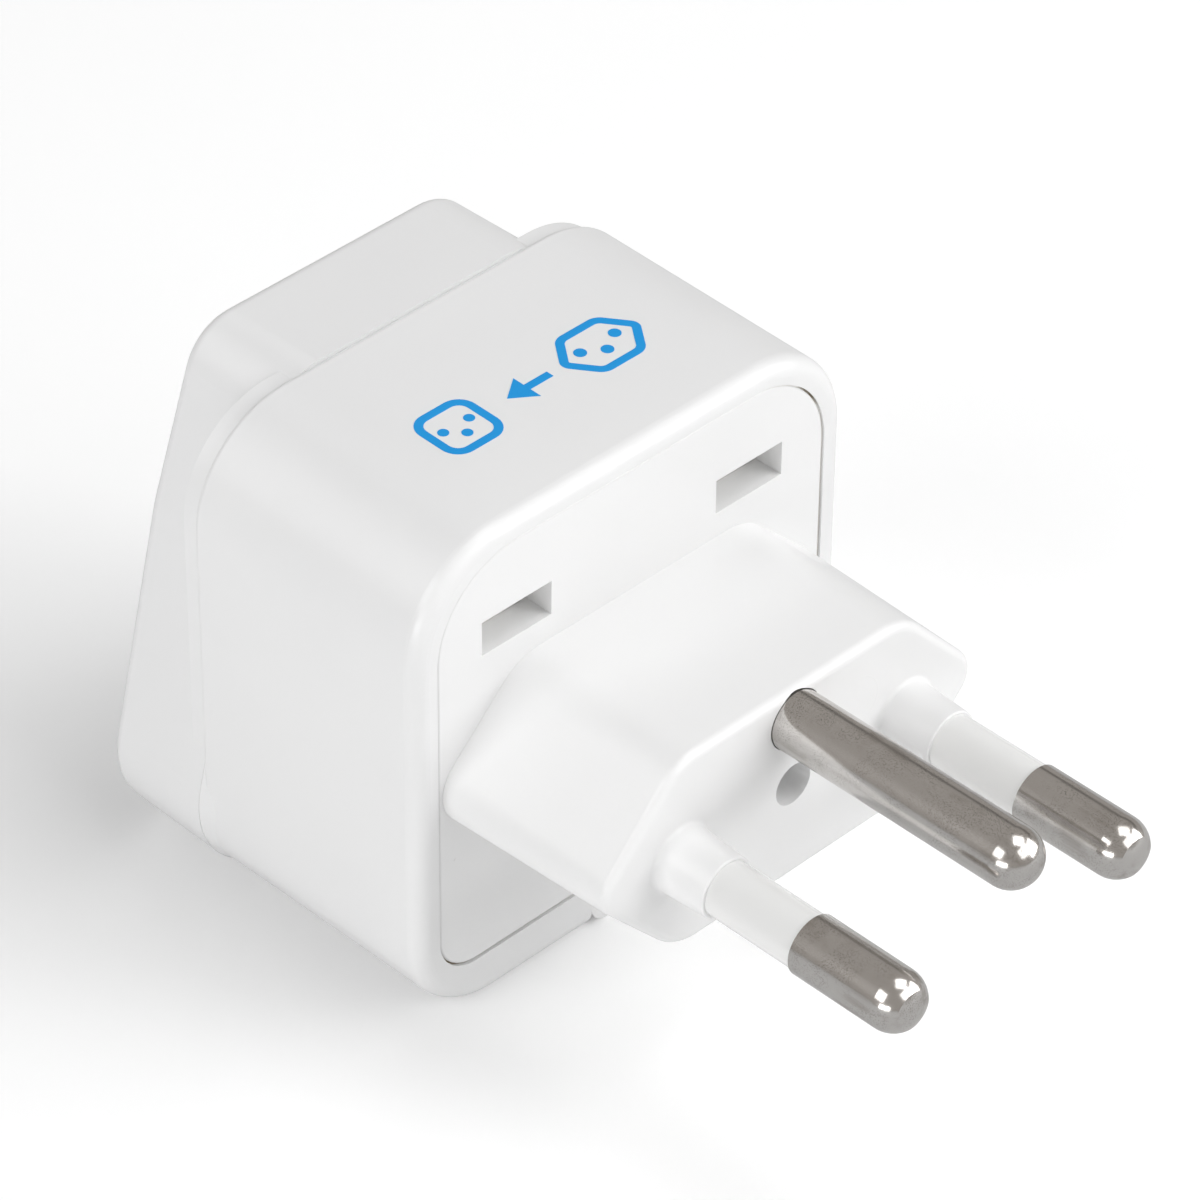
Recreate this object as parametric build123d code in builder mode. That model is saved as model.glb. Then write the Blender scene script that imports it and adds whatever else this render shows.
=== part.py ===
from build123d import *
from math import acos, atan, degrees, sqrt
import os

# Grounded travel adapter: a three-pin plug on the front of a moulded body,
# a three-hole socket in the head at the back, and the brass parts between them.
# Lengths are in millimetres.
# The origin is the centre of the plug face, midway between the live and neutral pins.
# +X runs across the part, +Y runs back into the body and +Z is up.

# Clearances
slip_gap = 0.05
seat_gap = 0.02
panel_gap = 0.08

# Plug pins
pin_pitch = 19.0
pin_diameter = 4.0
pin_reach = 19.0
earth_rise = 4.95
tip_ring_diameter = 2.7
tip_ring_drop = 0.15
bare_metal_length = 8.4
neck_diameter = 2.8
sleeve_diameter = 3.68
sleeve_root = 1.5
earth_shank_diameter = 3.68
earth_shank_root = 0.6
flange_diameter = 5.2
flange_thickness = 1.0
stud_diameter = 2.0
peened_head_diameter = 3.0
peened_head_thickness = 0.6

# Pin collars on the plug face
collar_length = 3.85
collar_root_diameter = 4.5
collar_end_diameter = 4.12
collar_root_fillet = 0.3
collar_end_fillet = 0.12

# Plug boss, an elongated hexagon with rounded points
boss_depth = 13.38
boss_height = 14.4
boss_flat_half_width = 9.55
boss_tip_half_width = 16.25
boss_root_half_width = 17.0
boss_flat_radius = 4.0
boss_point_radius = 2.0
boss_face_fillet = 0.6
boss_wall = 1.8
boss_front_wall = 3.0
pin_tower_diameter = 6.6
counterbore_gap = 0.1
core_hole_diameter = 2.9
core_hole_depth = 2.4

# Body shell
body_bottom = 17.6
rim_setback = 0.08
rim_half_width = 17.9
rim_top = 17.6
body_length = 18.9
body_side_flare = 0.2
body_top_flare = 0.3
body_top_radius = 7.2
body_bottom_radius = 6.3
body_wall = 2.0
rim_fillet = 1.1
end_fillet = 0.4
ledge_width = 1.2
ledge_thickness = 2.9

# Front plate of the plug insert
plate_thickness = 2.15
rim_side_width = 1.8
rim_top_width = 1.4
rim_bottom_width = 3.5
plate_top_radius = 6.2
plate_bottom_radius = 3.0
plate_fillet = 0.2
tab_half_width = 3.3
tab_end_radius = 1.4
tab_thickness = 1.6

# Windows in the plate and the tongues that close them from behind
window_pitch = 19.4
window_width = 5.65
window_height = 2.45
window_top = 11.45
tongue_lap = 0.4

# Screws that hold the head to the body, and the clamp plate to the insert
body_screw_inset = 3.9
body_screw_rise = 5.0
body_screw_shank = 2.2
body_screw_head = 4.0
body_screw_head_height = 1.25
body_screw_length = 13.0
clamp_screw_pitch = 8.4
clamp_screw_drop = 3.8
clamp_screw_shank = 1.7
clamp_screw_head = 3.2
clamp_screw_head_height = 0.9
clamp_screw_length = 6.0
screw_post_wall = 1.0
screw_tip_gap = 0.5
screw_head_fillet = 0.25
drive_width_share = 0.2
drive_length_share = 0.62
drive_depth = 0.6

# Socket head; its side lines meet at sharp corners before they are rounded
band_inset = 0.45
band_length = 1.3
head_length = 8.3
head_top_step = 0.05
head_top_inset = 7.4
head_knee_inset = 3.45
head_knee_height = 6.46
head_foot_flare = 2.24
head_top_radius = 4.0
head_knee_radius = 9.0
head_bottom_radius = 6.8
head_draft = 0.12
head_edge_fillet = 1.0
head_wall = 2.0
head_face_thickness = 3.0
spigot_length = 4.0
spigot_wall = 1.2

# Socket holes
socket_drop = 10.0
socket_pitch = 19.0
round_hole_diameter = 5.4
flat_hole_width = 7.0
flat_hole_height = 4.6
flat_hole_offset = 0.6
blade_hole_width = 2.2
blade_hole_height = 7.0
blade_hole_offset = 3.15
hole_corner_radius = 0.3
earth_hole_width = 5.0
earth_hole_height = 11.6
earth_hole_centre = 8.0
earth_hole_corner_radius = 1.0
hole_chamfer = 0.4

# Contacts, straps and rivets
leaf_thickness = 0.5
leaf_gap = 4.4
leaf_root_gap = 5.0
leaf_mouth_gap = 5.4
leaf_bend_radius = 0.6
leaf_root_length = 3.0
leaf_mouth_length = 2.6
pair_leaf_width = 7.6
earth_leaf_width = 11.0
contact_setback = 1.6
strap_thickness = 0.6
strap_width = 2.6
strap_pad_diameter = 5.2
strap_foot_diameter = 4.4
strap_leg_drop = 2.2
strap_bend_radius = 0.4
rivet_diameter = 2.0
rivet_head_diameter = 3.2
rivet_head_thickness = 0.5
rivet_head_fillet = 0.2

# Plate that clamps the pin straps into the insert
clamp_thickness = 1.6
clamp_bottom = 5.8
clamp_shoulder = 1.7
clamp_top_half_width = 4.2
clamp_top = 8.0
clamp_corner_radius = 0.8
keyhole_diameter = 3.6
keyhole_slot_width = 3.0
keyhole_slot_drop = 2.6

# Contact carrier
carrier_floor = 1.4
carrier_flange = 2.4
carrier_gap = 0.2
pocket_gap = 0.3
pocket_wall = 1.2

# Places that follow from the sizes above
sides = (-1, 1)
pin_radius = pin_diameter / 2
neck_radius = neck_diameter / 2
plug_pair = [(side * pin_pitch / 2, 0) for side in sides]
earth_pin_place = (0, earth_rise)
all_pins = plug_pair + [earth_pin_place]
plate_half_width = rim_half_width - rim_side_width
plate_top = rim_top - rim_top_width
plate_bottom = body_bottom - rim_bottom_width
end_half_width = rim_half_width + body_side_flare
end_top = rim_top + body_top_flare
head_top = end_top + head_top_step
head_top_half_width = end_half_width - head_top_inset
head_knee_half_width = end_half_width - head_knee_inset
head_bottom_half_width = end_half_width + head_foot_flare
metal_root = bare_metal_length - pin_reach
sleeve_front = metal_root + seat_gap
plate_rear = boss_depth + plate_thickness
rim_front = boss_depth - rim_setback
ledge_front = plate_rear + seat_gap
ledge_rear = ledge_front + ledge_thickness
body_end = rim_front + body_length
head_rear = body_end + head_length
strap_front = plate_rear - strap_thickness
peen_front = plate_rear + seat_gap
peen_rear = peen_front + peened_head_thickness
flange_rear = strap_front - seat_gap
flange_front = flange_rear - flange_thickness
flange_seat = flange_front - seat_gap
clamp_rear = ledge_front + clamp_thickness
clamp_half_width = (pin_pitch + strap_pad_diameter) / 2
carrier_front = ledge_rear + seat_gap
carrier_flange_rear = carrier_front + carrier_flange
pocket_floor = carrier_front + carrier_floor
web_front = pocket_floor + seat_gap
web_rear = web_front + leaf_thickness
foot_front = carrier_front - seat_gap - strap_thickness
rivet_front = foot_front - seat_gap
rivet_rear = web_rear + seat_gap
head_inner_face = head_rear - head_face_thickness
leaf_rear = head_inner_face - contact_setback
head_front = body_end + seat_gap
band_rear = head_front + band_length
spigot_front = body_end - spigot_length
spigot_inset = body_wall + slip_gap
bore_inset = spigot_inset + spigot_wall
post_front = carrier_flange_rear + seat_gap
socket_pair = [(side * socket_pitch / 2, -socket_drop) for side in sides]
earth_socket = (0, earth_hole_centre)
all_sockets = socket_pair + [earth_socket]
body_screw_offset = plate_half_width - body_screw_inset
body_screw_places = [(side * body_screw_offset, body_screw_rise) for side in sides]
clamp_screw_places = [(side * clamp_screw_pitch / 2, -clamp_screw_drop) for side in sides]
window_places = [(side * window_pitch / 2, window_top - window_height / 2) for side in sides]
body_screw_hole = body_screw_shank + 2 * slip_gap
clamp_screw_hole = clamp_screw_shank + 2 * slip_gap
body_post_diameter = body_screw_shank + 2 * screw_post_wall
clamp_post_diameter = clamp_screw_shank + 2 * screw_post_wall
body_screw_seat = ledge_front + body_screw_head_height + 2 * seat_gap
body_screw_tip = body_screw_seat + body_screw_length
clamp_screw_tip = clamp_rear - clamp_screw_length
leaf_pocket = leaf_mouth_gap + 2 * leaf_thickness + 2 * pocket_gap


def across(depth):
    """Plane across the part at a depth behind the plug face, facing the wall outlet."""
    return Plane.XZ.offset(-depth)


def body_outline(depth, half_width, top, bottom, top_radius, bottom_radius):
    """Upright rounded rectangle with its own top and bottom corner radii."""
    with BuildSketch(across(depth), mode=Mode.PRIVATE) as profile:
        with BuildLine():
            FilletPolyline(
                (-half_width, -bottom),
                (half_width, -bottom),
                (half_width, top),
                (-half_width, top),
                radius=[bottom_radius, bottom_radius, top_radius, top_radius],
                close=True,
            )
        make_face()
    return profile.sketch


def shell_outline(depth, inset=0.0):
    """Body section at a depth. The sides and top flare to the rear, the underside stays level."""
    share = (depth - rim_front) / body_length
    side_flare = share * body_side_flare
    return body_outline(
        depth,
        rim_half_width + side_flare - inset,
        rim_top + share * body_top_flare - inset,
        body_bottom - inset,
        body_top_radius + side_flare - inset,
        body_bottom_radius + side_flare - inset,
    )


def plate_outline(depth, inset=0.0):
    """Front plate section, or an opening round it when the inset is negative."""
    return body_outline(
        depth,
        plate_half_width - inset,
        plate_top - inset,
        plate_bottom - inset,
        plate_top_radius - inset,
        plate_bottom_radius - inset,
    )


def boss_outline(depth, inset=0.0):
    """Hexagonal boss section at a depth. Its points spread and soften towards the root."""
    spread = min(depth / boss_depth, 1) * (boss_root_half_width - boss_tip_half_width)
    point = boss_tip_half_width + spread
    height = boss_height / 2
    with BuildSketch(across(depth), mode=Mode.PRIVATE) as profile:
        with BuildLine():
            FilletPolyline(
                (-boss_flat_half_width, -height),
                (boss_flat_half_width, -height),
                (point, 0),
                (boss_flat_half_width, height),
                (-boss_flat_half_width, height),
                (-point, 0),
                radius=2 * [boss_flat_radius, boss_flat_radius, boss_point_radius + spread],
                close=True,
            )
        make_face()
        if inset:
            offset(amount=-inset, mode=Mode.REPLACE)
    return profile.sketch


def head_outline(depth, inset=0.0):
    """Socket head section, narrow at the top and widest near the bottom."""
    draft = head_draft * (depth - body_end) / (head_rear - body_end)
    with BuildSketch(across(depth), mode=Mode.PRIVATE) as profile:
        with BuildLine():
            FilletPolyline(
                (-head_bottom_half_width, -body_bottom),
                (head_bottom_half_width, -body_bottom),
                (head_knee_half_width, head_knee_height),
                (head_top_half_width, head_top),
                (-head_top_half_width, head_top),
                (-head_knee_half_width, head_knee_height),
                radius=[
                    head_bottom_radius,
                    head_bottom_radius,
                    head_knee_radius,
                    head_top_radius,
                    head_top_radius,
                    head_knee_radius,
                ],
                close=True,
            )
        make_face()
        offset(amount=-inset - draft, mode=Mode.REPLACE)
    return profile.sketch


def discs(depth, places, diameter):
    """Equal round faces at the given places across the part."""
    with BuildSketch(across(depth), mode=Mode.PRIVATE) as profile:
        with Locations(*places):
            Circle(diameter / 2)
    return profile.sketch


def blocks(depth, places, width, height, corner=0.0):
    """Equal rectangular faces at the given places, with rounded corners where asked for."""
    with BuildSketch(across(depth), mode=Mode.PRIVATE) as profile:
        with Locations(*places):
            Rectangle(width, height)
        if corner:
            fillet(profile.vertices(), corner)
    return profile.sketch


def back(face, length, mode=Mode.ADD):
    """Extrude towards the socket end, or towards the plug for a negative length."""
    extrude(face, amount=-length, mode=mode)


def cut_back(face, length):
    """Cut towards the socket end."""
    back(face, length, Mode.SUBTRACT)


def turn_pin(place, steps, ringed_tip):
    """Turn a pin from its radius and depth steps, with a plain or a ringed dome at the tip."""
    dome_centre = pin_radius - pin_reach
    tip_front = -pin_reach
    with BuildSketch(Plane(origin=(place[0], 0, place[1])), mode=Mode.PRIVATE) as profile:
        with BuildLine():
            if ringed_tip:
                ring_radius = tip_ring_diameter / 2
                ring_depth = sqrt(pin_radius**2 - ring_radius**2)
                crown_height = pin_radius - ring_depth - tip_ring_drop
                crown_radius = (ring_radius**2 + crown_height**2) / (2 * crown_height)
                crown_angle = 90 - degrees(acos(ring_radius / crown_radius))
                tip_front = -pin_reach + tip_ring_drop
                CenterArc((0, dome_centre), pin_radius, 0, -degrees(acos(ring_radius / pin_radius)))
                CenterArc((0, tip_front + crown_radius), crown_radius, -90, crown_angle)
            else:
                CenterArc((0, dome_centre), pin_radius, 0, -90)
            Polyline((pin_radius, dome_centre), *steps, (0, peen_rear), (0, tip_front))
        make_face()
    revolve(profile.sketch, axis=Axis((place[0], 0, place[1]), (0, 1, 0)))


def form_strap(pin_place, socket_place):
    """Bend a strap from the stud of a pin back and across to the rivet of its contact."""
    pad_middle = strap_front + strap_thickness / 2
    foot_middle = foot_front + strap_thickness / 2
    leg_height = pin_place[1] - strap_leg_drop + strap_thickness / 2
    with BuildSketch(Plane.YZ.offset(pin_place[0]), mode=Mode.PRIVATE) as profile:
        with BuildLine():
            FilletPolyline(
                (pad_middle, pin_place[1]),
                (pad_middle, leg_height),
                (foot_middle, leg_height),
                (foot_middle, socket_place[1]),
                radius=strap_bend_radius,
            )
        trace(line_width=strap_thickness)
    extrude(profile.sketch, amount=strap_width / 2, both=True)
    back(discs(strap_front, [pin_place], strap_pad_diameter), strap_thickness)
    back(discs(foot_front, [socket_place], strap_foot_diameter), strap_thickness)
    cut_back(discs(strap_front, [pin_place], stud_diameter + 2 * slip_gap), strap_thickness)
    cut_back(discs(foot_front, [socket_place], rivet_diameter + 2 * slip_gap), strap_thickness)


def form_contact(plane, width):
    """Bend a spring contact: two leaves that pinch a pin, joined by a riveted web."""
    root = (leaf_root_gap + leaf_thickness) / 2
    pinch = (leaf_gap + leaf_thickness) / 2
    mouth = (leaf_mouth_gap + leaf_thickness) / 2
    web = web_front + leaf_thickness / 2
    with BuildSketch(plane, mode=Mode.PRIVATE) as profile:
        with BuildLine():
            FilletPolyline(
                (leaf_rear, mouth),
                (leaf_rear - leaf_mouth_length, pinch),
                (web + leaf_root_length, root),
                (web, root),
                (web, -root),
                (web + leaf_root_length, -root),
                (leaf_rear - leaf_mouth_length, -pinch),
                (leaf_rear, -mouth),
                radius=leaf_bend_radius,
            )
        trace(line_width=leaf_thickness)
    extrude(profile.sketch, amount=width / 2, both=True)
    rivet_place = [(plane.origin.X, plane.origin.Z)]
    cut_back(discs(web_front, rivet_place, rivet_diameter + 2 * slip_gap), leaf_thickness)


def form_rivet(place):
    """Rivet through a strap foot, the carrier floor and a contact web."""
    back(discs(rivet_front, [place], rivet_head_diameter), -rivet_head_thickness)
    back(discs(rivet_front, [place], rivet_diameter), rivet_rear - rivet_front)
    back(discs(rivet_rear, [place], rivet_head_diameter), rivet_head_thickness)


def form_screws(places, head_outside, underside, tip, head_diameter, shank_diameter):
    """Cross-recess screws along the depth, given where head and shank begin and end."""
    inward = 1 if underside > head_outside else -1
    back(discs(head_outside, places, head_diameter), underside - head_outside)
    back(discs(underside, places, shank_diameter), tip - underside)
    slot_width = drive_width_share * head_diameter
    slot_length = drive_length_share * head_diameter
    cut_back(blocks(head_outside, places, slot_width, slot_length), inward * drive_depth)
    cut_back(blocks(head_outside, places, slot_length, slot_width), inward * drive_depth)


def rings_at(builder, depth):
    """Round edges of a builder's part that lie at a depth."""
    rings = builder.part.edges().filter_by(GeomType.CIRCLE)
    return rings.filter_by_position(Axis.Y, depth - slip_gap, depth + slip_gap)


def finish(builder, name):
    """Label a finished piece and write it out."""
    builder.part.label = name
    export_step(builder.part, "parts/" + name + ".step")


os.makedirs("parts", exist_ok=True)

# Body shell: a drafted tube with a front ledge that carries the plug insert
with BuildPart() as main_housing:
    loft([shell_outline(rim_front), shell_outline(body_end)])
    fillet(main_housing.faces().sort_by(Axis.Y)[0].edges(), rim_fillet)
    fillet(main_housing.faces().sort_by(Axis.Y)[-1].edges(), end_fillet)
    cut_back(plate_outline(rim_front, -panel_gap), ledge_front - rim_front)
    cut_back(plate_outline(ledge_front, ledge_width), ledge_rear - ledge_front)
    loft([shell_outline(depth, body_wall) for depth in (ledge_rear, body_end)], mode=Mode.SUBTRACT)
    # Lugs on the ledge take the body screws
    lug_diameter = body_screw_head + 2 * screw_post_wall
    lug_middle = plate_half_width - body_screw_inset / 2
    lug_bridges = [(side * lug_middle, body_screw_rise) for side in sides]
    with BuildSketch(across(ledge_front), mode=Mode.PRIVATE) as screw_lugs:
        add(discs(ledge_front, body_screw_places, lug_diameter))
        add(blocks(ledge_front, lug_bridges, body_screw_inset, lug_diameter))
        add(plate_outline(ledge_front), mode=Mode.INTERSECT)
    back(screw_lugs.sketch, ledge_rear - ledge_front)
    screw_head_hole = body_screw_head + 2 * counterbore_gap
    cut_back(discs(ledge_front, body_screw_places, screw_head_hole), body_screw_seat - ledge_front)
    cut_back(discs(ledge_front, body_screw_places, body_screw_hole), ledge_rear - ledge_front)
    # A notch in the lower rim lets the tab of the insert through
    notch_width = 2 * (tab_half_width + panel_gap)
    notch_height = 2 * (body_bottom - plate_bottom)
    notch_depth = rim_setback + tab_thickness + panel_gap
    cut_back(blocks(rim_front, [(0, -body_bottom)], notch_width, notch_height), notch_depth)
finish(main_housing, "main_housing")

# Plug insert: front plate, hollow boss, pin collars and the tab that fills the notch
with BuildPart() as plug_insert:
    back(plate_outline(boss_depth), plate_thickness)
    fillet(plug_insert.faces().sort_by(Axis.Y)[0].edges(), plate_fillet)
    # The tab reaches down through the rim to the underside of the body
    with BuildSketch(across(boss_depth), mode=Mode.PRIVATE) as tab:
        with Locations((0, -plate_bottom)):
            Rectangle(2 * tab_half_width, 2 * (body_bottom - plate_bottom))
        fillet(tab.vertices().group_by(Axis.Y)[0], tab_end_radius)
    back(tab.sketch, tab_thickness)
    loft([boss_outline(0), boss_outline(boss_depth)])
    fillet(plug_insert.faces().sort_by(Axis.Y)[0].edges(), boss_face_fillet)
    collar_taper = degrees(atan((collar_root_diameter - collar_end_diameter) / 2 / collar_length))
    extrude(discs(0, plug_pair, collar_root_diameter), amount=collar_length, taper=collar_taper)
    fillet(rings_at(plug_insert, 0), collar_root_fillet)
    fillet(plug_insert.faces().sort_by(Axis.Y)[:2].edges(), collar_end_fillet)
    # Hollow from the back, with a tower left standing round each pin and screw
    with BuildSketch(across(boss_front_wall), mode=Mode.PRIVATE) as hollow:
        add(boss_outline(boss_front_wall, boss_wall))
        add(discs(boss_front_wall, all_pins, pin_tower_diameter), mode=Mode.SUBTRACT)
        add(discs(boss_front_wall, clamp_screw_places, clamp_post_diameter), mode=Mode.SUBTRACT)
    cut_back(hollow.sketch, plate_rear - boss_front_wall)
    # Bores and seats for the pins, their sleeves and straps, and the clamp screws
    sleeve_seat = collar_length + sleeve_root + seat_gap
    cut_back(discs(-collar_length, plug_pair, sleeve_diameter + 2 * seat_gap), sleeve_seat)
    cut_back(discs(0, [earth_pin_place], pin_diameter + 2 * slip_gap), earth_shank_root + seat_gap)
    cut_back(discs(0, all_pins, neck_diameter + 2 * slip_gap), plate_rear)
    seat_diameter = flange_diameter + 2 * counterbore_gap
    cut_back(discs(flange_seat, all_pins, seat_diameter), plate_rear - flange_seat)
    clamp_bore_end = clamp_screw_tip - screw_tip_gap
    cut_back(discs(clamp_bore_end, clamp_screw_places, clamp_screw_hole), plate_rear - clamp_bore_end)
    # Blind hole in the middle of the plug face, left by the moulding core
    cut_back(discs(0, [(0, 0)], core_hole_diameter), core_hole_depth)
    # Windows through the plate, above the boss
    cut_back(blocks(boss_depth, window_places, window_width, window_height), plate_thickness)
finish(plug_insert, "plug_insert")

# Plug pins, turned in one piece from the rounded tip to the peened rear head
pin_root_steps = [
    (neck_radius, flange_front),
    (flange_diameter / 2, flange_front),
    (flange_diameter / 2, flange_rear),
    (stud_diameter / 2, flange_rear),
    (stud_diameter / 2, peen_front),
    (peened_head_diameter / 2, peen_front),
    (peened_head_diameter / 2, peen_rear),
]
pair_steps = [(pin_radius, metal_root), (neck_radius, metal_root)] + pin_root_steps
earth_steps = [
    (pin_radius, 0),
    (earth_shank_diameter / 2, 0),
    (earth_shank_diameter / 2, earth_shank_root),
    (neck_radius, earth_shank_root),
] + pin_root_steps
circuits = ["live", "neutral", "earth"]
tips = [True, True, False]
for circuit, place, steps, ringed in zip(circuits, all_pins, [pair_steps, pair_steps, earth_steps], tips):
    with BuildPart() as pin:
        turn_pin(place, steps, ringed)
    finish(pin, circuit + "_pin")

# Insulating sleeves on the root half of the live and neutral pins
for circuit, place in zip(circuits, plug_pair):
    with BuildPart() as sleeve:
        back(discs(sleeve_front, [place], sleeve_diameter), sleeve_root - sleeve_front)
        cut_back(discs(sleeve_front, [place], neck_diameter + 2 * slip_gap), sleeve_root - sleeve_front)
    finish(sleeve, circuit + "_sleeve")

# Plate that clamps the strap pads, with keyholes for the peened heads and the strap legs
with BuildPart() as pin_clamp_plate:
    with BuildSketch(across(ledge_front), mode=Mode.PRIVATE) as clamp_outline:
        with Locations((0, (clamp_shoulder - clamp_bottom) / 2)):
            Rectangle(2 * clamp_half_width, clamp_shoulder + clamp_bottom)
        with Locations((0, clamp_top / 2)):
            Rectangle(2 * clamp_top_half_width, clamp_top)
        fillet(clamp_outline.vertices(), clamp_corner_radius)
        slot_places = [(place[0], place[1] - keyhole_slot_drop / 2) for place in all_pins]
        add(discs(ledge_front, all_pins, keyhole_diameter), mode=Mode.SUBTRACT)
        add(blocks(ledge_front, slot_places, keyhole_slot_width, keyhole_slot_drop), mode=Mode.SUBTRACT)
        add(discs(ledge_front, clamp_screw_places, clamp_screw_hole), mode=Mode.SUBTRACT)
    back(clamp_outline.sketch, clamp_thickness)
finish(pin_clamp_plate, "pin_clamp_plate")

# Contact carrier: a flange across the body, a pocket for each contact and a tongue behind each window
with BuildPart() as contact_carrier:
    flange_inset = body_wall + carrier_gap
    loft([shell_outline(depth, flange_inset) for depth in (carrier_front, carrier_flange_rear)])
    pair_pocket = [pair_leaf_width + 2 * pocket_gap, leaf_pocket]
    earth_pocket = [leaf_pocket, earth_leaf_width + 2 * pocket_gap]
    with BuildSketch(across(carrier_front), mode=Mode.PRIVATE) as towers:
        add(blocks(carrier_front, socket_pair, *[size + 2 * pocket_wall for size in pair_pocket]))
        add(blocks(carrier_front, [earth_socket], *[size + 2 * pocket_wall for size in earth_pocket]))
        add(shell_outline(carrier_front, bore_inset + carrier_gap), mode=Mode.INTERSECT)
    tower_length = head_inner_face - seat_gap - carrier_front
    back(towers.sketch, tower_length)
    cut_back(blocks(pocket_floor, socket_pair, *pair_pocket), tower_length)
    cut_back(blocks(pocket_floor, [earth_socket], *earth_pocket), tower_length)
    tongue_size = [size + 2 * tongue_lap for size in (window_width, window_height)]
    back(blocks(ledge_front, window_places, *tongue_size), carrier_front - ledge_front)
    cut_back(discs(carrier_front, all_sockets, rivet_diameter + 2 * slip_gap), carrier_floor)
    cut_back(discs(carrier_front, body_screw_places, body_screw_hole), carrier_flange)
finish(contact_carrier, "contact_carrier")

# Straps, spring contacts and the rivets that join them through the carrier
for circuit, pin_place, socket_place in zip(circuits, all_pins, all_sockets):
    with BuildPart() as strap:
        form_strap(pin_place, socket_place)
    finish(strap, circuit + "_strap")
    leaf_normal = (0, 0, 1) if circuit == "earth" else (1, 0, 0)
    leaf_width = earth_leaf_width if circuit == "earth" else pair_leaf_width
    contact_origin = (socket_place[0], 0, socket_place[1])
    with BuildPart() as contact:
        form_contact(Plane(origin=contact_origin, x_dir=(0, 1, 0), z_dir=leaf_normal), leaf_width)
    finish(contact, circuit + "_contact")
    with BuildPart() as rivet:
        form_rivet(socket_place)
        fillet(rivet.faces().sort_by(Axis.Y)[0].edges(), rivet_head_fillet)
        fillet(rivet.faces().sort_by(Axis.Y)[-1].edges(), rivet_head_fillet)
    finish(rivet, circuit + "_rivet")

# Socket head: a set-back band against the body, the flared head and a spigot into the body
with BuildPart() as socket_head:
    back(shell_outline(body_end, band_inset), band_rear - body_end)
    cut_back(shell_outline(body_end), seat_gap)
    loft([head_outline(head_front), head_outline(head_rear)])
    fillet(socket_head.faces().sort_by(Axis.Y)[-1].edges(), head_edge_fillet)
    loft([shell_outline(depth, spigot_inset) for depth in (spigot_front, head_front)])
    # The bore runs on into a chamber that follows the head
    with BuildSketch(across(spigot_front), mode=Mode.PRIVATE) as throat:
        add(shell_outline(spigot_front, bore_inset))
        add(head_outline(spigot_front, head_wall), mode=Mode.INTERSECT)
    cut_back(shell_outline(spigot_front, bore_inset), head_front - spigot_front)
    cut_back(throat.sketch, band_rear - spigot_front)
    cut_back(head_outline(band_rear, head_wall), head_inner_face - band_rear)
    # Screw posts reach forward through the body to the carrier flange
    back(discs(post_front, body_screw_places, body_post_diameter), head_inner_face - post_front)
    bore_length = body_screw_tip + screw_tip_gap - post_front
    cut_back(discs(post_front, body_screw_places, body_screw_hole), bore_length)
    # Live and neutral holes take round, flat and blade pins; the earth hole is a tall slot
    blade_places = [(side * (socket_pitch / 2 - blade_hole_offset), -socket_drop) for side in sides]
    flat_places = [(side * (socket_pitch / 2 + flat_hole_offset), -socket_drop) for side in sides]
    corner = hole_corner_radius
    with BuildSketch(across(head_inner_face), mode=Mode.PRIVATE) as holes:
        add(discs(head_inner_face, socket_pair, round_hole_diameter))
        add(blocks(head_inner_face, flat_places, flat_hole_width, flat_hole_height, corner))
        add(blocks(head_inner_face, blade_places, blade_hole_width, blade_hole_height, corner))
        add(
            blocks(
                head_inner_face,
                [earth_socket],
                earth_hole_width,
                earth_hole_height,
                earth_hole_corner_radius,
            )
        )
    cut_back(holes.sketch, head_face_thickness)
    chamfer(socket_head.faces().sort_by(Axis.Y)[-1].inner_wires().edges(), hole_chamfer)
finish(socket_head, "socket_head")

# Screws from the body into the head, and from the clamp plate into the insert
with BuildPart() as body_screws:
    body_head_front = body_screw_seat - seat_gap - body_screw_head_height
    body_underside = body_screw_seat - seat_gap
    form_screws(
        body_screw_places,
        body_head_front,
        body_underside,
        body_screw_tip,
        body_screw_head,
        body_screw_shank,
    )
    fillet(rings_at(body_screws, body_head_front), screw_head_fillet)
finish(body_screws, "body_screws")

with BuildPart() as clamp_screws:
    clamp_underside = clamp_rear + seat_gap
    clamp_head_rear = clamp_underside + clamp_screw_head_height
    form_screws(
        clamp_screw_places,
        clamp_head_rear,
        clamp_underside,
        clamp_screw_tip,
        clamp_screw_head,
        clamp_screw_shank,
    )
    fillet(rings_at(clamp_screws, clamp_head_rear), screw_head_fillet)
finish(clamp_screws, "clamp_screws")
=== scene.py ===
from math import atan2, pi, radians

import bmesh
import bpy
from mathutils import Matrix, Vector


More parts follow.
